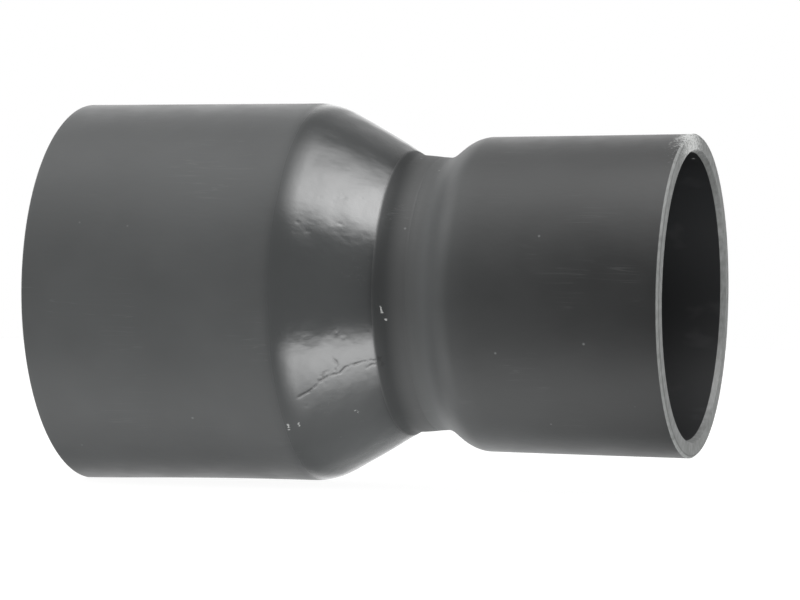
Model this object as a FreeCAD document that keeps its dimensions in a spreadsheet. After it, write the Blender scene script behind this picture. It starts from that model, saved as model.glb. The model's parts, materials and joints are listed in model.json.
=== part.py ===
"""Concentric PVC-U reducer, 110 mm to 90 mm pipe: two belled sockets joined by a cemented lap joint.

Distances along the axis ("stations") are measured from the large mouth. Every piece is a body of
revolution, drawn as a half section in its own XZ plane and moved so that the middle of the
fitting's length lies on the origin. +X points from the large mouth to the small mouth.
"""

import FreeCAD, Part
import math
import os
import Sketcher

doc = FreeCAD.newDocument("concentric_reducer")

# ---------------------------------------------------------------- driving dimensions, millimetres

SIZES = (
    ("overall_length", 202.0, "large mouth to small mouth"),
    # Large socket
    ("large_bore_radius", 55.15, "takes pipe of 110 mm outside diameter"),
    ("large_mouth_radius", 61.75, "outside, at the mouth"),
    ("large_lead_in", 2.0, "length of the bevel inside the large mouth"),
    ("large_lead_in_rise", 0.9, "depth of that bevel"),
    ("large_stop_station", 80.0, "where the bore turns into the cone and stops the pipe"),
    ("large_stop_bend", 14.0, "inside bend radius there"),
    ("large_hollow", 2800.0, "radius of the slight hollow along the socket's outside"),
    ("shoulder_station", 82.6, "where the socket turns into the cone outside"),
    ("shoulder_radius", 61.0, "outside, at the shoulder"),
    ("shoulder_bend", 20.0, "outside bend radius there"),
    # Cone and throat collar
    ("cone_bow", 370.0, "radius of the cone's slight outward bow"),
    ("crease_station", 111.9, "where the cone meets the collar"),
    ("crease_radius", 44.4, "outside, at the crease"),
    ("crease_blend", 0.8, "hollow blend in the crease"),
    ("collar_bow", 45.0, "radius of the collar's slight outward bow"),
    ("collar_station", 120.4, "end of the collar"),
    ("collar_edge_radius", 43.5, "outside, at the end of the collar"),
    ("collar_edge_round", 0.4, "rounding of that edge"),
    ("throat_station", 104.0, "where the cone's inside meets the throat"),
    ("throat_radius", 40.5, "bore of the throat that takes the spigot"),
    # Small socket
    ("film_thickness", 0.2, "cement between throat and spigot"),
    ("nose_station", 102.2, "free end of the spigot, just inside the cone"),
    ("nose_round", 1.0, "rounding of the spigot's inner edge"),
    ("flow_radius", 37.0, "bore of spigot and neck"),
    ("neck_radius", 42.35, "outside, just past the collar"),
    ("neck_station", 123.8, "where the neck turns into the flare outside"),
    ("neck_bend", 7.2, "outside bend radius there"),
    ("inner_neck_station", 125.8, "where the neck turns into the flare inside"),
    ("inner_neck_bend", 13.0, "inside bend radius there"),
    ("flare_station", 133.4, "where the flare turns into the small socket outside"),
    ("flare_radius", 50.03, "outside, at that place"),
    ("flare_bend", 11.0, "outside bend radius there"),
    ("small_stop_station", 135.8, "where the flare ends inside and stops the pipe"),
    ("small_stop_bend", 6.0, "inside bend radius there"),
    ("small_bore_radius", 45.1, "takes pipe of 90 mm outside diameter"),
    ("small_mouth_radius", 50.72, "outside, at the mouth"),
    ("small_lead_in", 1.7, "length of the bevel inside the small mouth"),
    ("small_lead_in_rise", 0.75, "depth of that bevel"),
    # Shared finish of both mouths, and the cement that was squeezed out
    ("mouth_chamfer", 0.7, "45 degree chamfer round each mouth's outer edge"),
    ("outer_bead_top", 43.05, "radius where the outer bead meets the collar's end"),
    ("outer_bead_foot", 0.6, "length of neck that the outer bead covers"),
    ("outer_bead_hollow", 1.5, "hollow radius of the outer bead"),
    ("inner_bead_reach", 1.4, "how far the inner bead climbs along the cone, axially"),
    ("inner_bead_hollow", 2.5, "hollow radius of the inner bead"),
)

sizes = doc.addObject("Spreadsheet::Sheet", "sizes")
for row, (alias, number, note) in enumerate(SIZES, 1):
    sizes.set(f"A{row}", alias)
    sizes.set(f"B{row}", str(number))
    sizes.set(f"C{row}", note)
    sizes.setAlias(f"B{row}", alias)
doc.recompute()

# ---------------------------------------------------------------- tools for drawing ring sections

MOUTH = "0"
OUTWARD, HOLLOW = 1, -1


def new_body(name):
    """A body whose drawing starts at the large mouth, moved to centre the fitting on the origin."""
    body = doc.addObject("PartDesign::Body", name)
    body.Label = name
    body.Placement = FreeCAD.Placement(FreeCAD.Vector(), FreeCAD.Rotation())
    body.setExpression("Placement.Base.x", "-sizes.overall_length / 2")
    return body


def arc_between(start, end, radius, side):
    """The short arc that bows to the left (OUTWARD) or right (HOLLOW) on the way from start to end."""
    along = end - start
    half_chord = along.Length / 2
    left = FreeCAD.Vector(-along.y, along.x, 0).normalize()
    drop = math.sqrt(radius**2 - half_chord**2)
    centre = (start + end) / 2 - left * drop * side
    first, last = (end, start) if side == OUTWARD else (start, end)
    from_angle = math.atan2(first.y - centre.y, first.x - centre.x)
    to_angle = math.atan2(last.y - centre.y, last.x - centre.x)
    if to_angle < from_angle:
        to_angle += 2 * math.pi
    circle = Part.Circle(centre, FreeCAD.Vector(0, 0, 1), radius)
    return Part.ArcOfCircle(circle, from_angle, to_angle)


def ring_section(body, name, corners, bows=None):
    """A closed half section. corners: (label, station, radius), clockwise, as expressions.

    bows: corner label -> (radius, side) for each edge that starts at that corner and is an arc.
    """
    bows = bows or {}
    sketch = body.newObject("Sketcher::SketchObject", name)
    plane = next(f for f in body.Origin.OriginFeatures if f.Role == "XZ_Plane")
    sketch.AttachmentSupport = [(plane, "")]
    sketch.MapMode = "FlatFace"

    def measured(expression):
        return float(sketch.evalExpression(expression))

    def bind(constraint, label, expression):
        index = sketch.addConstraint(constraint)
        sketch.renameConstraint(index, label)
        sketch.setExpression(f"Constraints.{label}", expression)

    places = [FreeCAD.Vector(measured(s), measured(r), 0) for _, s, r in corners]
    count = len(corners)
    ends = []
    for i, (label, _, _) in enumerate(corners):
        start, end = places[i], places[(i + 1) % count]
        radius, side = bows.get(label, (None, None))
        if radius:
            sketch.addGeometry(arc_between(start, end, measured(radius), side))
        else:
            sketch.addGeometry(Part.LineSegment(start, end))
        ends.append((2, 1) if side == OUTWARD else (1, 2))
    for i in range(count):
        after = (i + 1) % count
        sketch.addConstraint(Sketcher.Constraint("Coincident", i, ends[i][1], after, ends[after][0]))
    for i, (label, station, radius) in enumerate(corners):
        start = ends[i][0]
        if station == MOUTH:
            sketch.addConstraint(Sketcher.Constraint("PointOnObject", i, start, -2))
        else:
            along = Sketcher.Constraint("DistanceX", -1, 1, i, start, places[i].x)
            bind(along, f"{label}_station", station)
        across = Sketcher.Constraint("DistanceY", -1, 1, i, start, places[i].y)
        bind(across, f"{label}_radius", radius)
        if label in bows:
            bow = bows[label][0]
            bind(Sketcher.Constraint("Radius", i, measured(bow)), f"{label}_bow", bow)
    return sketch


def revolve(body, sketch, name):
    """Turn the half section once round the fitting's axis."""
    ring = body.newObject("PartDesign::Revolution", name)
    ring.Profile = sketch
    ring.ReferenceAxis = (sketch, ["H_Axis"])
    ring.Angle = 360
    sketch.Visibility = False
    doc.recompute()
    return ring


def dress_edge(body, kind, name, station, radius, size):
    """Fillet or chamfer the circular edge at this station and radius. The last three are expressions."""
    base = body.Tip
    x, r = float(body.evalExpression(station)), float(body.evalExpression(radius))
    edges = [
        f"Edge{number}"
        for number, edge in enumerate(base.Shape.Edges, 1)
        if isinstance(edge.Curve, Part.Circle)
        and abs(edge.Curve.Center.x - x) < 1e-4
        and abs(edge.Curve.Radius - r) < 1e-4
    ]
    if len(edges) != 1:
        raise RuntimeError(f"{name}: {len(edges)} edges at station {x}, radius {r}")
    dressed = body.newObject(f"PartDesign::{kind}", name)
    dressed.Base = (base, edges)
    dressed.setExpression("Radius" if kind == "Fillet" else "Size", size)
    doc.recompute()


def blend(body, name, station, radius, size):
    """Round a circular edge."""
    dress_edge(body, "Fillet", name, station, radius, size)


def chamfer(body, name, station, radius, size):
    """Cut a circular edge back at 45 degrees."""
    dress_edge(body, "Chamfer", name, station, radius, size)


# ---------------------------------------------------------------- large socket, cone and throat


def large_socket_body():
    """Belled from the larger pipe: socket, 30 degree cone, and the collar that holds the spigot."""
    body = new_body("large_socket_body")
    corners = (
        ("mouth_bevel", MOUTH, "sizes.large_bore_radius + sizes.large_lead_in_rise"),
        ("mouth_edge", MOUTH, "sizes.large_mouth_radius"),
        ("shoulder", "sizes.shoulder_station", "sizes.shoulder_radius"),
        ("crease", "sizes.crease_station", "sizes.crease_radius"),
        ("collar_edge", "sizes.collar_station", "sizes.collar_edge_radius"),
        ("collar_bore", "sizes.collar_station", "sizes.throat_radius"),
        ("throat_start", "sizes.throat_station", "sizes.throat_radius"),
        ("pipe_stop", "sizes.large_stop_station", "sizes.large_bore_radius"),
        ("bore_start", "sizes.large_lead_in", "sizes.large_bore_radius"),
    )
    bows = {
        "mouth_edge": ("sizes.large_hollow", HOLLOW),
        "shoulder": ("sizes.cone_bow", OUTWARD),
        "crease": ("sizes.collar_bow", OUTWARD),
    }
    revolve(body, ring_section(body, "large_section", corners, bows), "large_ring")
    blend(body, "shoulder_bend", "sizes.shoulder_station", "sizes.shoulder_radius", "sizes.shoulder_bend")
    blend(body, "stop_bend", "sizes.large_stop_station", "sizes.large_bore_radius", "sizes.large_stop_bend")
    blend(body, "crease_blend", "sizes.crease_station", "sizes.crease_radius", "sizes.crease_blend")
    blend(body, "collar_round", "sizes.collar_station", "sizes.collar_edge_radius", "sizes.collar_edge_round")
    chamfer(body, "large_mouth_chamfer", MOUTH, "sizes.large_mouth_radius", "sizes.mouth_chamfer")
    return body


# ---------------------------------------------------------------- small socket, neck and spigot

SPIGOT_RADIUS = "sizes.throat_radius - sizes.film_thickness"
SPIGOT_ROOT = "sizes.collar_station + sizes.film_thickness"


def small_socket_body():
    """Belled from the smaller pipe: socket, flare, neck, and the turned-down spigot."""
    body = new_body("small_socket_body")
    corners = (
        ("nose_bore", "sizes.nose_station", "sizes.flow_radius"),
        ("nose_edge", "sizes.nose_station", SPIGOT_RADIUS),
        ("spigot_root", SPIGOT_ROOT, SPIGOT_RADIUS),
        ("neck_start", SPIGOT_ROOT, "sizes.neck_radius"),
        ("neck_end", "sizes.neck_station", "sizes.neck_radius"),
        ("flare_top", "sizes.flare_station", "sizes.flare_radius"),
        ("mouth_edge", "sizes.overall_length", "sizes.small_mouth_radius"),
        ("mouth_bevel", "sizes.overall_length", "sizes.small_bore_radius + sizes.small_lead_in_rise"),
        ("bore_start", "sizes.overall_length - sizes.small_lead_in", "sizes.small_bore_radius"),
        ("pipe_stop", "sizes.small_stop_station", "sizes.small_bore_radius"),
        ("inner_neck", "sizes.inner_neck_station", "sizes.flow_radius"),
    )
    revolve(body, ring_section(body, "small_section", corners), "small_ring")
    blend(body, "neck_bend", "sizes.neck_station", "sizes.neck_radius", "sizes.neck_bend")
    blend(body, "flare_bend", "sizes.flare_station", "sizes.flare_radius", "sizes.flare_bend")
    blend(body, "stop_bend", "sizes.small_stop_station", "sizes.small_bore_radius", "sizes.small_stop_bend")
    blend(body, "inner_neck_bend", "sizes.inner_neck_station", "sizes.flow_radius", "sizes.inner_neck_bend")
    blend(body, "nose_round", "sizes.nose_station", "sizes.flow_radius", "sizes.nose_round")
    chamfer(body, "small_mouth_chamfer", "sizes.overall_length", "sizes.small_mouth_radius",
            "sizes.mouth_chamfer")
    return body


# ---------------------------------------------------------------- cured cement of the lap joint


def cement_bond():
    """The film that fills the lap, with the bead squeezed out at each end of it."""
    body = new_body("cement_bond")
    cone_climb = (
        "sizes.throat_radius + sizes.inner_bead_reach"
        " * (sizes.large_bore_radius - sizes.throat_radius)"
        " / (sizes.throat_station - sizes.large_stop_station)"
    )
    bead_end = "sizes.throat_station - sizes.inner_bead_reach"
    corners = (
        ("inner_bead_foot", bead_end, SPIGOT_RADIUS),
        ("inner_bead_top", bead_end, cone_climb),
        ("film_start", "sizes.throat_station", "sizes.throat_radius"),
        ("film_end", "sizes.collar_station", "sizes.throat_radius"),
        ("outer_bead_top", "sizes.collar_station", "sizes.outer_bead_top"),
        ("outer_bead_foot", SPIGOT_ROOT + " + sizes.outer_bead_foot", "sizes.neck_radius"),
        ("neck_start", SPIGOT_ROOT, "sizes.neck_radius"),
        ("spigot_root", SPIGOT_ROOT, SPIGOT_RADIUS),
    )
    bows = {
        "inner_bead_foot": ("sizes.inner_bead_hollow", HOLLOW),
        "outer_bead_top": ("sizes.outer_bead_hollow", HOLLOW),
    }
    revolve(body, ring_section(body, "cement_section", corners, bows), "cement_ring")
    return body


# ---------------------------------------------------------------- build, check and write

pieces = [large_socket_body(), small_socket_body(), cement_bond()]
doc.recompute()

for item in doc.Objects:
    if "Invalid" in item.State or "Error" in item.State:
        raise RuntimeError(f"{item.Label} failed: {item.State}")
for piece in pieces:
    if piece.Shape.isNull() or not piece.Shape.isValid() or len(piece.Shape.Solids) != 1:
        raise RuntimeError(f"{piece.Label} has no valid single solid")

os.makedirs("parts", exist_ok=True)
for piece in pieces:
    piece.Shape.exportStep(f"parts/{piece.Label}.step")
    print(f"{piece.Label}: {piece.Shape.Volume / 1000:.2f} cm3, {len(piece.Shape.Faces)} faces")
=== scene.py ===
import json
import math

import bmesh
import bpy
import numpy as np
from mathutils import Matrix, Vector


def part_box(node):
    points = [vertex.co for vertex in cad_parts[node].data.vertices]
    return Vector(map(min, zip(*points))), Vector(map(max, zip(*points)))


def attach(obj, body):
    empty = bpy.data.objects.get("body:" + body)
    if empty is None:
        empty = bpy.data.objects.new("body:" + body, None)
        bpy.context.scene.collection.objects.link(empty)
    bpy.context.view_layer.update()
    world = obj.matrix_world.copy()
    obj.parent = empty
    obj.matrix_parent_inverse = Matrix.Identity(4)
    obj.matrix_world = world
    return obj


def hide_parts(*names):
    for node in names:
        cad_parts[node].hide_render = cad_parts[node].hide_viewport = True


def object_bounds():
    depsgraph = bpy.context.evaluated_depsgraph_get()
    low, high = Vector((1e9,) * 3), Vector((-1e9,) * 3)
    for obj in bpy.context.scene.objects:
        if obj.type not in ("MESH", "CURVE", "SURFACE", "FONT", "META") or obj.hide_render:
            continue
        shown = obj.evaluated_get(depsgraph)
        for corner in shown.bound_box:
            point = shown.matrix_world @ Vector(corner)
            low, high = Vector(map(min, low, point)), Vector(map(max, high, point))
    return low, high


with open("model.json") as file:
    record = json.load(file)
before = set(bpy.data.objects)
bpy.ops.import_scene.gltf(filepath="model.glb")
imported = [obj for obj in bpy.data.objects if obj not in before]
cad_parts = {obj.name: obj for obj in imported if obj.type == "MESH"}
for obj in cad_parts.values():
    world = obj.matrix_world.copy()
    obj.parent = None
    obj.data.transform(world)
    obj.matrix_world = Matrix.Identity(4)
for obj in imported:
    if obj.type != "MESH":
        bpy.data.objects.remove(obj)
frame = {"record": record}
cad_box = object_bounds()

# ------------------------------------------------------------------ places, millimetres
# x is measured from the large mouth, as in the CAD; the frame says where that mouth is.

MM = 0.001
LARGE_LOW, LARGE_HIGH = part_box("large_socket_body")
SMALL_LOW, SMALL_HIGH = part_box("small_socket_body")
MOUTHS = {m["name"]: m for m in frame["record"]["mounts"]}

length = (SMALL_HIGH.x - LARGE_LOW.x) / MM
collar_end = (LARGE_HIGH.x - LARGE_LOW.x) / MM
nose = (SMALL_LOW.x - LARGE_LOW.x) / MM
large_bore = MOUTHS["large_socket"]["dims"]["r_mm"]
small_bore = MOUTHS["small_socket"]["dims"]["r_mm"]
large_mouth = 61.75
small_mouth = 50.72

film = 0.2  # cement between throat and spigot
throat = 40.5
spigot = throat - film
flow = 37.0
neck = 42.35  # under the cement
waist = 43.35  # where the neck shows

shoulder = (82.6, 61.0)  # station and radius where the socket turns into the cone
crease = 110.4
cone_foot = 45.2  # radius of the cone at the crease
collar_top = 44.5
collar_rim = 43.6
large_stop = 80.0  # where the bore turns into the cone and stops the pipe
throat_start = 104.0

flare_start = 123.1
flare_end = (132.7, 50.03)
inner_flare_start = 125.8
small_stop = 135.8

chamfer = 0.7
large_chamfer = 0.3
edge_wear = 0.12
large_lead_in, large_lead_in_rise = 2.0, 0.9
small_lead_in, small_lead_in_rise = 1.7, 0.75
cone_radius = 52.0  # about half way up the cone, for distances round it


def line(x, start, end, bulge=0.0):
    """Height at x of a line between two (x, r) points, bulged outward at its middle."""
    t = (x - start[0]) / (end[0] - start[0])
    return start[1] + (end[1] - start[1]) * t + 4 * bulge * t * (1 - t)


def lower(a, b, blend):
    """The lower of two curves, with the corner between them rounded off."""
    near = np.maximum(blend - np.abs(a - b), 0) / blend
    return np.minimum(a, b) - near**2 * blend / 4


def upper(a, b, blend):
    """The upper of two curves, with the corner between them filled in."""
    return -lower(-a, -b, blend)


# ------------------------------------------------------------------ outlines


def large_outside(x):
    """Outside of the large socket: socket, cone, crease and collar."""
    socket = line(x, (0, large_mouth), shoulder, bulge=-0.3)
    cone = line(x, shoulder, (crease, cone_foot), bulge=0.4)
    collar = line(x, (crease, collar_top), (collar_end, collar_rim), bulge=0.15)
    return upper(lower(socket, cone, blend=2.5), np.where(x > 106, collar, 0), blend=0.9)


def large_inside(x):
    """Bore of the large socket and the cone inside it, as far as the throat."""
    cone = line(x, (large_stop, large_bore), (throat_start, throat))
    return lower(np.full_like(x, large_bore), cone, blend=2.4)


def small_outside(x):
    """Outside of the small socket: neck, flare and socket."""
    socket = line(x, (133.4, flare_end[1]), (length, small_mouth))
    flare = line(x, (flare_start, neck), flare_end)
    return lower(upper(np.full_like(x, waist), flare, blend=2.6), socket, blend=3.0)


def small_inside(x):
    """Bore of the neck, the flare inside it and the bore of the small socket."""
    flare = line(x, (inner_flare_start, flow), (small_stop, small_bore))
    return lower(upper(np.full_like(x, flow), flare, blend=3.7), np.full_like(x, small_bore), blend=1.7)


def arc(corner, before, after, radius, steps=4):
    """Points of a small rounding at a corner between two neighbouring corners."""
    corner, before, after = (np.array(p, float) for p in (corner, before, after))
    u = (before - corner) / np.linalg.norm(before - corner)
    v = (after - corner) / np.linalg.norm(after - corner)
    half = math.acos(float(np.clip(u @ v, -1, 1))) / 2
    reach = radius / math.tan(half)
    centre = corner + (u + v) / np.linalg.norm(u + v) * radius / math.sin(half)
    points = []
    for t in np.linspace(0, 1, steps):
        p = corner + u * reach * (1 - t) + v * reach * t
        d = p - centre
        points.append(tuple(centre + d / np.linalg.norm(d) * radius))
    return points


def stretch(curve, start, end, step):
    """Points (x, r) along one of the curves above, from start to end."""
    count = max(2, int(round(abs(end - start) / step)) + 1)
    x = np.linspace(start, end, count)
    return list(zip(x, curve(x)))


def large_outline():
    """Closed half section of the large socket, clockwise from its mouth."""
    face = large_mouth - large_chamfer
    bevel = large_bore + large_lead_in_rise
    rim = [(0, bevel), (0, face), (large_chamfer, float(large_outside(np.array([large_chamfer]))[0]))]
    points = arc(rim[1], rim[0], rim[2], edge_wear)
    points += arc(rim[2], rim[1], (5, large_mouth), edge_wear)
    points += stretch(large_outside, 2.0, 76.0, 3.0)
    points += stretch(large_outside, 78.0, 84.5, 0.6)
    points += stretch(large_outside, 84.8, 114.5, 0.3)
    points += stretch(large_outside, 115.1, collar_end - 0.8, 0.8)
    lip = (collar_end, collar_rim - 0.1)
    points += arc(lip, (collar_end - 3, 43.8), (collar_end, 40), 0.4, 6)
    points += [(collar_end, 42.4), (collar_end, throat), (112.0, throat), (throat_start, throat)]
    points += stretch(large_inside, 102.0, 76.0, 1.2)
    points += stretch(large_inside, 72.0, 4.0, 6.0)
    lead_in = (large_lead_in, large_bore)
    points += arc(lead_in, (10, large_bore), rim[0], edge_wear * 3)
    points += arc(rim[0], lead_in, rim[1], edge_wear)
    points += [(0, bevel + (face - bevel) * t) for t in (0.2, 0.4, 0.6, 0.8)]
    return points


def small_outline():
    """Closed half section of the small socket, clockwise from the spigot's nose."""
    face = small_mouth - chamfer
    bevel = small_bore + small_lead_in_rise
    root = collar_end + film
    edge = float(small_outside(np.array([length - chamfer]))[0])
    rim = [(length - chamfer, edge), (length, face), (length, bevel), (length - small_lead_in, small_bore)]
    points = [(nose, 38.5), (nose, spigot), (nose + 6, spigot), (root, spigot), (root, neck)]
    points += stretch(small_outside, root + 0.4, 139.0, 0.45)
    points += stretch(small_outside, 141.0, length - 8.0, 2.0)
    points += stretch(small_outside, length - 6.5, length - 0.95, 0.4)
    points += arc(rim[0], (length - 3, edge), rim[1], edge_wear)
    points += [(length - chamfer * t, edge + (face - edge) * (1 - t)) for t in (0.75, 0.5, 0.3)]
    points += arc(rim[1], rim[0], rim[2], edge_wear)
    points += [(length, bevel + (face - bevel) * t) for t in (0.93, 0.85, 0.7, 0.5, 0.3, 0.15)]
    points += arc(rim[2], rim[1], rim[3], edge_wear)
    points += arc(rim[3], rim[2], (length - 9, small_bore), edge_wear * 3)
    points += stretch(small_inside, length - 2.4, length - 6.4, 0.5)
    points += stretch(small_inside, length - 10, 142.0, 4.0)
    points += stretch(small_inside, 140.0, 119.0, 0.8)
    points += [(112.0, flow), (nose + 2, flow)]
    points += arc((nose, flow), (nose + 5, flow), (nose, spigot), 1.0, 6)
    return points


def cement_outline():
    """Closed half section of the cement: outer bead, film, and inner bead.

    The outer bead is sunk a little into the collar's end and into the neck, and thins out along the neck.
    """
    root = collar_end + film
    sunk_in_collar = collar_end - 1.2
    bead_end = collar_end + 4.6
    under_neck = waist - 0.3
    run = np.linspace(sunk_in_collar, bead_end, 16)
    fall = np.clip((collar_end + 4.4 - run) / 5.4, 0, 1)
    above = large_outside(np.array([collar_end - 1.0]))[0] - waist
    outer = list(zip(run, small_outside(run) - 0.04 + (above + 0.02) * fall**2 * (3 - 2 * fall)))
    climb = throat + 1.4 * (large_bore - throat) / (throat_start - large_stop)
    inner = [(102.6 + 0.9 * t * (1 - t), spigot + (climb - spigot) * t) for t in np.linspace(0, 1, 7)]
    lap = [(throat_start, throat), (sunk_in_collar, throat)]
    back = [(bead_end, under_neck), (root, under_neck), (root, spigot), (112.0, spigot)]
    return inner + lap + outer + back


# ------------------------------------------------------------------ wear, as real shape
# Marks are placed by station in millimetres and angle in degrees: 0 is the front, 90 the top.

CRACK = (
    (110.9, -30.2), (110.5, -27.2), (107.1, -27.2), (103.0, -26.5), (101.2, -27.2), (99.6, -28.9),
    (96.0, -28.9), (93.3, -30.7), (91.4, -32.3), (89.2, -33.0), (86.7, -34.2),
)
CRACK_BRANCHES = (
    ((110.4, -28.0), (106.8, -29.8)),
    ((97.9, -22.6), (99.2, -26.2), (98.0, -27.2)),
    ((96.4, -27.0), (94.2, -28.2), (93.0, -30.6)),
)
PITS = (
    (90.8, 53.5), (94.4, 35.2), (97.1, 31.2), (99.4, 34.2), (101.6, 37.4), (97.6, 23.0), (99.7, 23.9),
    (98.3, 46.7), (95.8, 43.4), (103.9, 36.4), (105.7, 35.4), (101.4, 32.3), (88.2, 21.4), (91.2, 19.1),
    (102.7, -22.6), (99.6, -14.4), (101.4, -16.2), (97.9, -26.4), (88.6, -37.8), (95.1, -31.6),
    (96.9, 35.3), (98.7, 35.6), (93.0, 31.7), (95.0, 38.2), (97.3, 33.3), (100.2, 31.2), (103.0, 34.0),
)
NICKS = (
    ((111.8, -5.9), (113.6, -11.4)), ((82.2, -43.0), (82.0, -45.2)), ((85.2, -43.2), (85.4, -44.6)),
    ((114.2, -60.2), (114.4, -61.4)), ((101.2, -46.5), (101.9, -48.6)),
)


def waves(points, size, seed, count=20):
    """Smooth random waviness of about unit height, its features the given size in millimetres."""
    dice = np.random.default_rng(seed)
    total = np.zeros(points.shape[:-1])
    for _ in range(count):
        heading = dice.normal(size=3)
        heading /= np.linalg.norm(heading) * size * dice.uniform(0.7, 1.4)
        total += np.cos(2 * math.pi * (points @ heading + dice.uniform()))
    return total / math.sqrt(count / 2)


def fade_in(x, start, run):
    """0 below the start, rising in a straight line to 1 over the run."""
    return np.clip((x - start) / run, 0, 1)


def hill(x, middle, width):
    """A smooth hill of height 1."""
    return np.exp(-(((x - middle) / width) ** 2))


def cone_distance(x, a, station, angle):
    """Millimetres along the cone's skin from each mesh point to a station and angle."""
    return np.hypot(x - station, (a - math.radians(angle)) * cone_radius)


def path_distance(x, a, path):
    """Millimetres along the cone's skin from each mesh point to a broken line of stations and angles."""
    nearest = np.full(x.shape, 1e3)
    for (s0, a0), (s1, a1) in zip(path, path[1:]):
        run, lift = s1 - s0, math.radians(a1 - a0) * cone_radius
        forward, round_it = x - s0, (a - math.radians(a0)) * cone_radius
        along = np.clip((forward * run + round_it * lift) / (run**2 + lift**2), 0, 1)
        nearest = np.minimum(nearest, np.hypot(forward - along * run, round_it - along * lift))
    return nearest


def crack_strength(x, a, points):
    """1 along the middle of the crack in the cone, falling to 0 beside it."""
    sway = 0.2 * waves(points, 3.0, 5) + 0.12 * waves(points, 1.1, 4)
    near = path_distance(x + sway, a + sway / cone_radius, CRACK)
    for branch in CRACK_BRANCHES:
        near = np.minimum(near, path_distance(x + sway, a - sway / cone_radius, branch) + 0.08)
    width = 0.26 + 0.1 * waves(points, 2.5, 6)
    return hill(near, 0, np.maximum(width, 0.14))


def sag(x, a, points):
    """Slight waviness and droop that all three pieces share, so that they stay joined."""
    droop = 0.55 * (1 - fade_in(x, 0, 70)) ** 2
    droop += 0.27 * fade_in(x, 106, 8) + 0.06 * fade_in(x, 130, 60)
    return 0.03 * waves(points, 55.0, 12) - droop * np.sin(a)


def outer_skin(x, r):
    """1 on the outside of the large socket and 0 on its inside."""
    just_in_the_wall = throat + 0.3 + np.clip(throat_start - x, 0, 24) * 0.66
    return np.where(r > just_in_the_wall, 1.0, 0.0)


def wear_large(x, r, a):
    """Moulding waviness, pits, nicks and the crack in the large socket, and its mouth out of square."""
    points = np.stack([x, r * np.cos(a), r * np.sin(a)], axis=-1)
    out = outer_skin(x, r)
    on_cone = fade_in(x, 84, 5) * (1 - fade_in(x, 110, 2)) * out
    crack = crack_strength(x, a, points) * on_cone
    depth = (0.026 * waves(points, 9.0, 1) + 0.006 * waves(points, 3.2, 2)) * on_cone
    depth += sag(x, a, points) - 0.16 * crack
    for number, (station, angle) in enumerate(PITS):
        size = 0.3 + 0.08 * (number % 4)
        lean = 0.25 * waves(points, 1.5, 20 + number)
        pit = hill(cone_distance(x + lean, a, station, angle), 0, size) * out
        depth -= (0.06 - 0.02 * (number % 3)) * pit
    nicks = np.zeros_like(x)
    for nick in NICKS:
        nicks = np.maximum(nicks, hill(path_distance(x, a, nick), 0, 0.4) * out)
    bore = (r < large_inside(x) + 1.2) & (x > 0.6) & (x < collar_end - 0.1)
    marks = {
        "crack": crack,
        "bore": bore.astype(float),
        "sawn": (x < 0.1).astype(float),
        "scraped": 0.8 * nicks,
    }
    out_of_square = (0.65 + 0.45 * np.sin(a)) * (1 - fade_in(x, 0, 40))
    return x - out_of_square, r + depth, marks


def wear_small(x, r, a):
    """Sawn roughness of the small mouth, worst at its top, with burrs on its near side, out of square."""
    points = np.stack([x, r * np.cos(a), r * np.sin(a)], axis=-1)
    degrees = np.degrees(a)
    face = small_mouth - chamfer
    near_bore = r < small_bore + 1
    at_edge = fade_in(x, length - 1.6, 1.2) * fade_in(r, small_bore + 2.5, 2.5)
    top = hill(degrees, 80, 18)
    burrs = hill(degrees, -33, 3) + hill(degrees, -57, 3)
    rough = at_edge * (0.02 + 0.10 * top + 0.07 * burrs) * waves(points, 1.6, 11)
    bore = (r < small_inside(x) + 1.2) & (x < length - 1.75) & (x > nose + 0.5)
    spill = fade_in(x, length - 6.5, 5.0) * (1 - bore)
    cut = (x > length - 0.85) | ((x > length - 1.75) & near_bore)
    sawn = cut * (np.where(r > face, 1.0, 0.85) - 0.6 * hill(r, face - 0.05, 0.16))
    sawn *= 1 + 0.1 * waves(points, 2.5, 13)
    chip = hill(np.hypot(x - 198, (a - math.radians(105)) * small_bore), 0, 0.7) * near_bore
    marks = {"sawn": np.clip(sawn, 0, 1), "bore": bore - chip, "scraped": np.maximum(spill * top, chip)}
    out_of_square = (0.85 + 0.55 * np.cos(a) - 0.35 * np.sin(a)) * fade_in(x, 160, 40)
    return x - out_of_square, r + rough + sag(x, a, points), marks


def wear_cement(x, r, a):
    """The cement has no wear, but follows the sockets that it joins."""
    return x, r + sag(x, a, np.stack([x, r * np.cos(a), r * np.sin(a)], axis=-1)), {}


# ------------------------------------------------------------------ turning an outline into a mesh


def around(fine_from, fine_to, fine, coarse):
    """Angles round the axis in radians, closer together on one stretch given in degrees."""
    n_fine = int(round((fine_to - fine_from) / fine))
    n_coarse = int(round((360 - (fine_to - fine_from)) / coarse))
    near = np.linspace(fine_from, fine_to, n_fine, endpoint=False)
    far = np.linspace(fine_to, fine_from + 360, n_coarse, endpoint=False)
    return np.radians(np.concatenate([near, far]))


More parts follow.
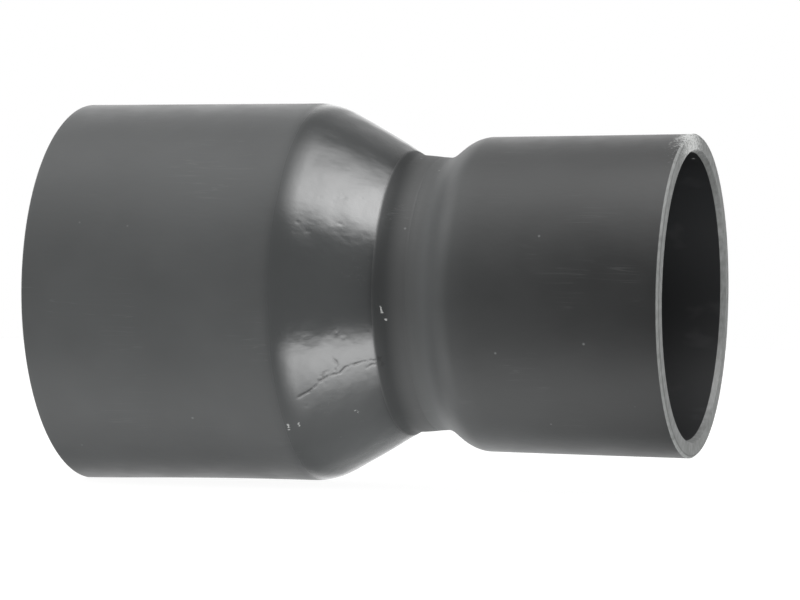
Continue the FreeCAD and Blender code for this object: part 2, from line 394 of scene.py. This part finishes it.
def turn(name, outline, angles, wear):
    """A closed ring mesh from an outline turned round the X axis, then worn."""
    x = np.array([p[0] for p in outline])[:, None] * np.ones(len(angles))
    r = np.array([p[1] for p in outline])[:, None] * np.ones(len(angles))
    a = np.ones(len(outline))[:, None] * angles
    x, r, marks = wear(x, r, a)
    points = np.stack([x * MM + LARGE_LOW.x, -r * np.cos(a) * MM, r * np.sin(a) * MM], axis=-1)
    rings, turns = x.shape
    index = np.arange(rings * turns).reshape(rings, turns)
    nxt = np.roll(index, -1, axis=0)
    faces = np.stack([index, nxt, np.roll(nxt, -1, axis=1), np.roll(index, -1, axis=1)], axis=-1)
    mesh = bpy.data.meshes.new(name)
    mesh.from_pydata(points.reshape(-1, 3).tolist(), [], faces.reshape(-1, 4).tolist())
    for mark, strength in marks.items():
        mesh.attributes.new(mark, "FLOAT", "POINT").data.foreach_set("value", strength.ravel())
    work = bmesh.new()
    work.from_mesh(mesh)
    bmesh.ops.recalc_face_normals(work, faces=work.faces)
    work.to_mesh(mesh)
    work.free()
    mesh.shade_smooth()
    mesh.set_sharp_from_angle(angle=math.radians(40))
    piece = bpy.data.objects.new(name, mesh)
    bpy.context.scene.collection.objects.link(piece)
    return piece


# ------------------------------------------------------------------ node helpers


def node(tree, kind, inputs=None, **settings):
    """Adds a node, fills in its inputs with numbers or links, and returns its first output."""
    made = tree.nodes.new(kind)
    for key, value in settings.items():
        setattr(made, key, value)
    for key, value in (inputs or {}).items():
        if isinstance(value, bpy.types.NodeSocket):
            tree.links.new(value, made.inputs[key])
        else:
            made.inputs[key].default_value = value
    return made.outputs[0]


def calc(tree, operation, a, b=0.0):
    """One step of arithmetic on numbers or links."""
    return node(tree, "ShaderNodeMath", {0: a, 1: b}, operation=operation)


def ramp(tree, value, low, high, start=0.0, end=1.0):
    """Smooth step from start to end while the value goes from low to high."""
    limits = {"Value": value, "From Min": low, "From Max": high, "To Min": start, "To Max": end}
    return node(tree, "ShaderNodeMapRange", limits, interpolation_type="SMOOTHSTEP")


def ramp_line(tree, value, low, high):
    """The value rescaled in a straight line, low to 0 and high to 1."""
    return node(tree, "ShaderNodeMapRange", {"Value": value, "From Min": low, "From Max": high})


def between(tree, factor, a, b):
    """A number between a and b."""
    return node(tree, "ShaderNodeMix", {0: factor, 2: a, 3: b})


def mix(tree, factor, a, b):
    """A colour between a and b."""
    made = tree.nodes.new("ShaderNodeMix")
    made.data_type = "RGBA"
    sockets = {0: factor, 6: a, 7: b}
    for key, value in sockets.items():
        if isinstance(value, bpy.types.NodeSocket):
            tree.links.new(value, made.inputs[key])
        else:
            made.inputs[key].default_value = value if key == 0 else (*value, 1)
    return made.outputs[2]


def colour_band(tree, value, stops, interpolation="LINEAR"):
    """Colour by value, from (position, colour) stops between 0 and 1."""
    band = tree.nodes.new("ShaderNodeValToRGB")
    tree.links.new(value, band.inputs[0])
    band.color_ramp.interpolation = interpolation
    elements = band.color_ramp.elements
    while len(elements) < len(stops):
        elements.new(0.5)
    for element, (position, colour) in zip(elements, stops):
        element.position = position
        element.color = (*colour, 1)
    return band.outputs[0]


def noise(tree, place, scale, detail=3.0):
    """Cloudy noise, its scale in features per metre."""
    return node(tree, "ShaderNodeTexNoise", {"Vector": place, "Scale": scale, "Detail": detail})


def stretched(tree, place, along, across):
    """The place scaled by one factor along the pipe and another across it."""
    scale = {0: place, 1: (along, across, across)}
    return node(tree, "ShaderNodeVectorMath", scale, operation="MULTIPLY")


def window(tree, along, rise, fall):
    """1 between two soft ends, each given by the stations in millimetres where it starts and stops."""
    up, down = ([LARGE_LOW.x + station * MM for station in end] for end in (rise, fall))
    return calc(tree, "MULTIPLY", ramp(tree, along, *up), ramp(tree, along, *down, 1.0, 0.0))


def mark(tree, name):
    """Strength of one of the marks stored on the mesh."""
    stored = tree.nodes.new("ShaderNodeAttribute")
    stored.attribute_name = name
    return stored.outputs["Fac"]


# ------------------------------------------------------------------ materials

SATIN = 0.44  # roughness of the skin in general
GLOSS = 0.19  # where the mould pressed it smooth
NECK_DULL = 0.62
CUT_DULL = 0.6  # on sawn faces and in the bore
GLOSSY_STATIONS = (78.5, 109.0)

DUST = (0.34, 0.35, 0.35)
# The bore's colours are painted shade: nearly black, far darker than the skin outside.
BORE_SHADE, BORE_SHADE_SMUDGE = (0.0125, 0.0135, 0.015), (0.022, 0.023, 0.025)
SAWN_DARK, SAWN_PALE = (0.13, 0.135, 0.13), (0.29, 0.30, 0.295)
SCRAPED = (0.60, 0.61, 0.60)
CRACKED = (0.02, 0.02, 0.02)

# Lightness of the skin by station: partly the plastic's own grey, partly painted shade and light.
# The dip at the crease (109.6 to 118) is painted shade, and the rise on the flare (123 to 131) is painted
# light.
LARGE_TONE_AND_SHADE = (
    (0, 0.083), (77.5, 0.082), (81.5, 0.070), (88, 0.074), (103, 0.073), (108.4, 0.062), (109.6, 0.042),
    (113.5, 0.041), (118.0, 0.056),
)
# Painted light and shade here too: pale on the flare, and darker along the small socket towards its mouth.
SMALL_TONE_AND_SHADE = (
    (119, 0.057), (123, 0.076), (125.5, 0.102), (131, 0.084), (135, 0.056), (142, 0.045), (166, 0.036),
    (197, 0.023),
)


def tone_and_painted_shade(tree, along, tone_and_shade):
    """Slightly cool grey by station, with painted shade and light in it: dark in the crease, pale on the
    flare, darker towards the small mouth.
    """
    share = calc(tree, "MULTIPLY", calc(tree, "SUBTRACT", along, LARGE_LOW.x), 1 / (length * MM))
    stops = [(station / length, (grey * 0.965, grey * 1.01, grey * 1.02)) for station, grey in tone_and_shade]
    return colour_band(tree, share, stops, "B_SPLINE")


def scuffs(tree, place):
    """Thin faint drag marks along the pipe, broken up into patches."""
    waves_along = noise(tree, stretched(tree, place, 14.0, 420.0), 1.0, 2)
    crossing = calc(tree, "ABSOLUTE", calc(tree, "SUBTRACT", waves_along, 0.5))
    lines = ramp(tree, crossing, 0.0, 0.012, 1.0, 0.0)
    return calc(tree, "MULTIPLY", lines, ramp(tree, noise(tree, place, 38, 2), 0.55, 0.66))


def flecks(tree, place):
    """Small pale specks of dust and swarf, one in a few cells."""
    cells = tree.nodes.new("ShaderNodeTexVoronoi")
    tree.links.new(place, cells.inputs["Vector"])
    cells.inputs["Scale"].default_value = 110
    dot = ramp(tree, cells.outputs["Distance"], 0.02, 0.06, 1.0, 0.0)
    chosen = calc(tree, "GREATER_THAN", cells.outputs["Color"], 0.6)
    return calc(tree, "MULTIPLY", dot, chosen)


def bore_painted_shade(tree, place):
    """Painted shade: the bore is coloured nearly black, with smudges."""
    smudges = ramp(tree, noise(tree, stretched(tree, place, 0.6, 1.0), 130, 2), 0.55, 0.75)
    return mix(tree, smudges, BORE_SHADE, BORE_SHADE_SMUDGE)


def scrapes(tree, place):
    """Where the scraped mark breaks up into pale grit."""
    scraped = mark(tree, "scraped")
    grit = noise(tree, stretched(tree, place, 0.7, 1.0), 1500, 2)
    broken = ramp(tree, calc(tree, "ADD", grit, calc(tree, "MULTIPLY", scraped, 0.3)), 0.64, 0.78)
    return calc(tree, "MULTIPLY", broken, scraped)


def skin_colour(tree, place, along, tone_and_shade, cuts):
    """The grey skin with painted shade and light in its tone, scuffs and dust, and over it the bore's
    painted shade, sawn faces, scrapes and crack.
    """
    clouds = ramp(tree, noise(tree, place, 30), 0.25, 0.75, 0.93, 1.07)
    grey = tone_and_painted_shade(tree, along, tone_and_shade)
    colour = node(tree, "ShaderNodeVectorMath", {0: grey, "Scale": clouds}, operation="SCALE")
    specks = calc(tree, "MAXIMUM", calc(tree, "MULTIPLY", scuffs(tree, place), 0.18), flecks(tree, place))
    colour = mix(tree, calc(tree, "MULTIPLY", specks, 0.35), colour, DUST)
    # Painted shade: the bore is coloured nearly black.
    colour = mix(tree, mark(tree, "bore"), colour, bore_painted_shade(tree, place))
    colour = mix(tree, mark(tree, "sawn"), colour, mix(tree, cuts, SAWN_DARK, SAWN_PALE))
    colour = mix(tree, scrapes(tree, place), colour, SCRAPED)
    return mix(tree, calc(tree, "MULTIPLY", mark(tree, "crack"), 0.85), colour, CRACKED)


def skin_roughness(tree, place, along, glossy):
    """Satin, but duller on the neck, in the bore and where cut, and glossy between the stations given."""
    roughness = ramp(tree, noise(tree, place, 90), 0.3, 0.7, SATIN - 0.03, SATIN + 0.03)
    roughness = between(tree, window(tree, along, (110, 116), (128, 136)), roughness, NECK_DULL)
    if glossy:
        start, end = glossy
        pressed = window(tree, along, (start, start + 4), (end, end + 1))
        roughness = between(tree, pressed, roughness, GLOSS)
    dull = calc(tree, "MAXIMUM", mark(tree, "sawn"), mark(tree, "bore"))
    return between(tree, dull, roughness, CUT_DULL)


def skin_shine(tree, along, glossy):
    """Strength of the shine: half in the bore, and little in the crease after the glossy stretch."""
    dimmed = calc(tree, "MULTIPLY", mark(tree, "bore"), 0.5)
    if glossy:
        end = glossy[1]
        crease_shade = window(tree, along, (end, end + 1.2), (end + 2, end + 9))
        dimmed = calc(tree, "MAXIMUM", dimmed, calc(tree, "MULTIPLY", crease_shade, 0.85))
    return calc(tree, "MULTIPLY", calc(tree, "SUBTRACT", 1.0, dimmed), 0.5)


def skin_height(tree, place, cuts):
    """Fine grain and orange peel all over, and saw grain on the sawn faces."""
    grain = noise(tree, stretched(tree, place, 0.35, 1.0), 900, 4)
    peel = noise(tree, stretched(tree, place, 0.7, 1.0), 420, 2)
    skin = calc(tree, "ADD", calc(tree, "MULTIPLY", grain, 0.3), calc(tree, "MULTIPLY", peel, 0.5))
    return calc(tree, "ADD", skin, calc(tree, "MULTIPLY", mark(tree, "sawn"), cuts))


def socket_plastic(name, tone_and_shade, glossy=None):
    """Grey PVC-U, its lightness by station partly its own grey and partly painted shade and light, and a
    glossy stretch if it has one.
    """
    material = bpy.data.materials.new(name)
    material.use_nodes = True
    tree = material.node_tree
    place = tree.nodes.new("ShaderNodeTexCoord").outputs["Object"]
    along = node(tree, "ShaderNodeSeparateXYZ", {0: place})
    cuts = noise(tree, stretched(tree, place, 1.0, 0.25), 1600, 2)
    raised = {"Height": skin_height(tree, place, cuts), "Distance": 0.06 * MM, "Strength": 1.0}
    shader = tree.nodes["Principled BSDF"]
    shader.inputs["IOR"].default_value = 1.54
    tree.links.new(skin_colour(tree, place, along, tone_and_shade, cuts), shader.inputs["Base Color"])
    tree.links.new(skin_roughness(tree, place, along, glossy), shader.inputs["Roughness"])
    tree.links.new(skin_shine(tree, along, glossy), shader.inputs["Specular IOR Level"])
    tree.links.new(node(tree, "ShaderNodeBump", raised), shader.inputs["Normal"])
    return material


def large_pvc():
    return socket_plastic("large_socket_pvc", LARGE_TONE_AND_SHADE, GLOSSY_STATIONS)


def small_pvc():
    return socket_plastic("small_socket_pvc", SMALL_TONE_AND_SHADE)


def cement():
    return socket_plastic("cured_cement", SMALL_TONE_AND_SHADE)


def pale():
    """Nearly white by its own light, so that hardly any shade shows on it."""
    material = bpy.data.materials.new("pale_floor")
    material.use_nodes = True
    shader = material.node_tree.nodes["Principled BSDF"]
    shader.inputs["Base Color"].default_value = (0.12, 0.12, 0.12, 1)
    shader.inputs["Roughness"].default_value = 1.0
    shader.inputs["Emission Color"].default_value = (1, 1, 1, 1)
    shader.inputs["Emission Strength"].default_value = 0.93
    return material


# ------------------------------------------------------------------ pieces


def put_on_body(piece, material, cad_node):
    """Gives a piece its material and puts it on the body in place of its CAD node."""
    piece.data.materials.append(material)
    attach(piece, "root")
    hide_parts(cad_node)


large_socket = turn("large_socket", large_outline(), around(-48, 62, 0.45, 1.4), wear_large)
small_socket = turn("small_socket", small_outline(), around(-70, 110, 0.6, 1.1), wear_small)
cement_bead = turn("cement_bead", cement_outline(), around(-48, 62, 0.8, 0.8), wear_cement)
put_on_body(large_socket, large_pvc(), "large_socket_body")
put_on_body(small_socket, small_pvc(), "small_socket_body")
put_on_body(cement_bead, cement(), "cement_bond")

# ------------------------------------------------------------------ floor

reach = 3.0
floor_mesh = bpy.data.meshes.new("floor")
floor_corners = [(-reach, -reach, 0), (reach, -reach, 0), (reach, reach, 0), (-reach, reach, 0)]
floor_mesh.from_pydata(floor_corners, [], [(0, 1, 2, 3)])
floor_mesh.materials.append(pale())
floor = bpy.data.objects.new("floor", floor_mesh)
floor.location.z = cad_box[0].z
bpy.context.scene.collection.objects.link(floor)
floor.visible_diffuse = False
floor.visible_glossy = False
floor.visible_shadow = False

# ------------------------------------------------------------------ light

LEVELS = {"fill": 0.95, "fill left": 0.1, "fill above": 0.1, "upper": 10.2, "lower": 7.5, "bounce": 2.6}

# Brightness that the plastic mirrors, by direction round the pipe in degrees: 0 is the front, 90 is up.
BRIGHTEST = 2.0
SURROUNDINGS = (
    (-180, 1.6), (-150, 1.2), (-130, 0.15), (-108, 0.15), (-90, 1.0), (-68, 1.1), (-42, 0.3), (-25, 0.02),
    (25, 0.02), (45, 0.45), (65, 1.0), (90, 1.6), (110, 0.6), (125, 0.55), (145, 1.5), (180, 2.0),
)


def mirrored_light(tree, x, y, z):
    """Light for glossy rays: the surroundings round the pipe, brighter towards the large mouth."""
    turned = calc(tree, "ARCTAN2", z, calc(tree, "MULTIPLY", y, -1.0))
    stops = [((angle + 180) / 360, (level / BRIGHTEST,) * 3) for angle, level in SURROUNDINGS]
    seen = colour_band(tree, ramp_line(tree, turned, -math.pi, math.pi), stops)
    seen = calc(tree, "MULTIPLY", seen, BRIGHTEST)
    seen = calc(tree, "MULTIPLY", seen, ramp(tree, x, -0.30, -0.08, 1.0, 0.4))
    return calc(tree, "MULTIPLY", seen, ramp(tree, x, -0.9, -0.36, 2.0, 1.0))


def fill_light(tree, x, z):
    """Light for the plastic's own colour: nearly even, a little more from the left and from above."""
    left = calc(tree, "MULTIPLY", ramp(tree, x, 0.3, -0.9), LEVELS["fill left"])
    above = calc(tree, "MULTIPLY", ramp(tree, z, -0.2, 0.9), LEVELS["fill above"])
    return calc(tree, "ADD", calc(tree, "ADD", left, above), LEVELS["fill"])


def studio_world():
    """White to the camera, and its own light for glossy rays and for all others."""
    world = bpy.data.worlds.new("studio")
    world.use_nodes = True
    world.cycles.sampling_method = "NONE"
    tree = world.node_tree
    split = tree.nodes.new("ShaderNodeSeparateXYZ")
    tree.links.new(tree.nodes.new("ShaderNodeTexCoord").outputs["Generated"], split.inputs[0])
    x, y, z = split.outputs
    ray = tree.nodes.new("ShaderNodeLightPath")
    fill, mirrored = fill_light(tree, x, z), mirrored_light(tree, x, y, z)
    strength = between(tree, ray.outputs["Is Glossy Ray"], fill, mirrored)
    strength = between(tree, ray.outputs["Is Camera Ray"], strength, 1.0)
    tree.links.new(strength, tree.nodes["Background"].inputs["Strength"])
    tree.nodes["Background"].inputs["Color"].default_value = (1, 1, 1, 1)
    return world


def softbox(name, centre, size, facing, flat):
    """A lamp that is bright over the flat share of its middle and fades to nothing at its edges."""
    lamp = bpy.data.lights.new(name, "AREA")
    lamp.shape = "RECTANGLE"
    lamp.size, lamp.size_y = size
    lamp.energy = LEVELS[name] * size[0] * size[1] * math.pi
    lamp.use_nodes = True
    tree = lamp.node_tree
    spot = tree.nodes.new("ShaderNodeSeparateXYZ")
    tree.links.new(tree.nodes.new("ShaderNodeNewGeometry").outputs["Parametric"], spot.inputs[0])
    glow = 1.0
    for across, level in zip(spot.outputs, flat):
        away = calc(tree, "ABSOLUTE", calc(tree, "SUBTRACT", across, 0.5))
        glow = calc(tree, "MULTIPLY", glow, ramp(tree, away, level / 2, 0.5, 1.0, 0.0))
    tree.links.new(glow, tree.nodes["Emission"].inputs["Strength"])
    placed = bpy.data.objects.new(name, lamp)
    bpy.context.scene.collection.objects.link(placed)
    turned = Vector(facing).to_track_quat("-Z", "Y").to_matrix().to_4x4()
    placed.matrix_world = Matrix.Translation(centre) @ turned
    placed.visible_camera = False
    return placed


# The first two are only mirrored, as bright patches on the cone. The third lights the neck from below.
up, down = (0, 0, 1), (0, 0, -1)
upper_patch = softbox("upper", (0.42, -0.15, 0.5), (1.0, 0.84), down, (0.0, 0.15))
lower_patch = softbox("lower", (0.50, -0.46, -0.5), (1.0, 0.90), up, (0.0, 0.2))
bounce = softbox("bounce", (0.055, 0.0, -0.08), (0.15, 0.12), up, (0.3, 0.3))
upper_patch.visible_diffuse = False
lower_patch.visible_diffuse = False
bounce.visible_glossy = False
bpy.context.scene.world = studio_world()
bpy.context.scene.view_settings.view_transform = "Standard"

# ------------------------------------------------------------------ camera

azimuth = math.radians(17.2)
roll = math.radians(0.58)
distance = 1.018
aim = Vector((0.0035, 0, -0.0024))

camera = bpy.data.objects.new("camera", bpy.data.cameras.new("camera"))
camera.data.lens = 142.4
camera.data.sensor_width = 36
back = Vector((math.sin(azimuth), -math.cos(azimuth), 0))
camera.matrix_world = (
    Matrix.Translation(aim + back * distance)
    @ back.to_track_quat("Z", "Y").to_matrix().to_4x4()
    @ Matrix.Rotation(roll, 4, "Z")
)
bpy.context.scene.collection.objects.link(camera)
bpy.context.scene.camera = camera
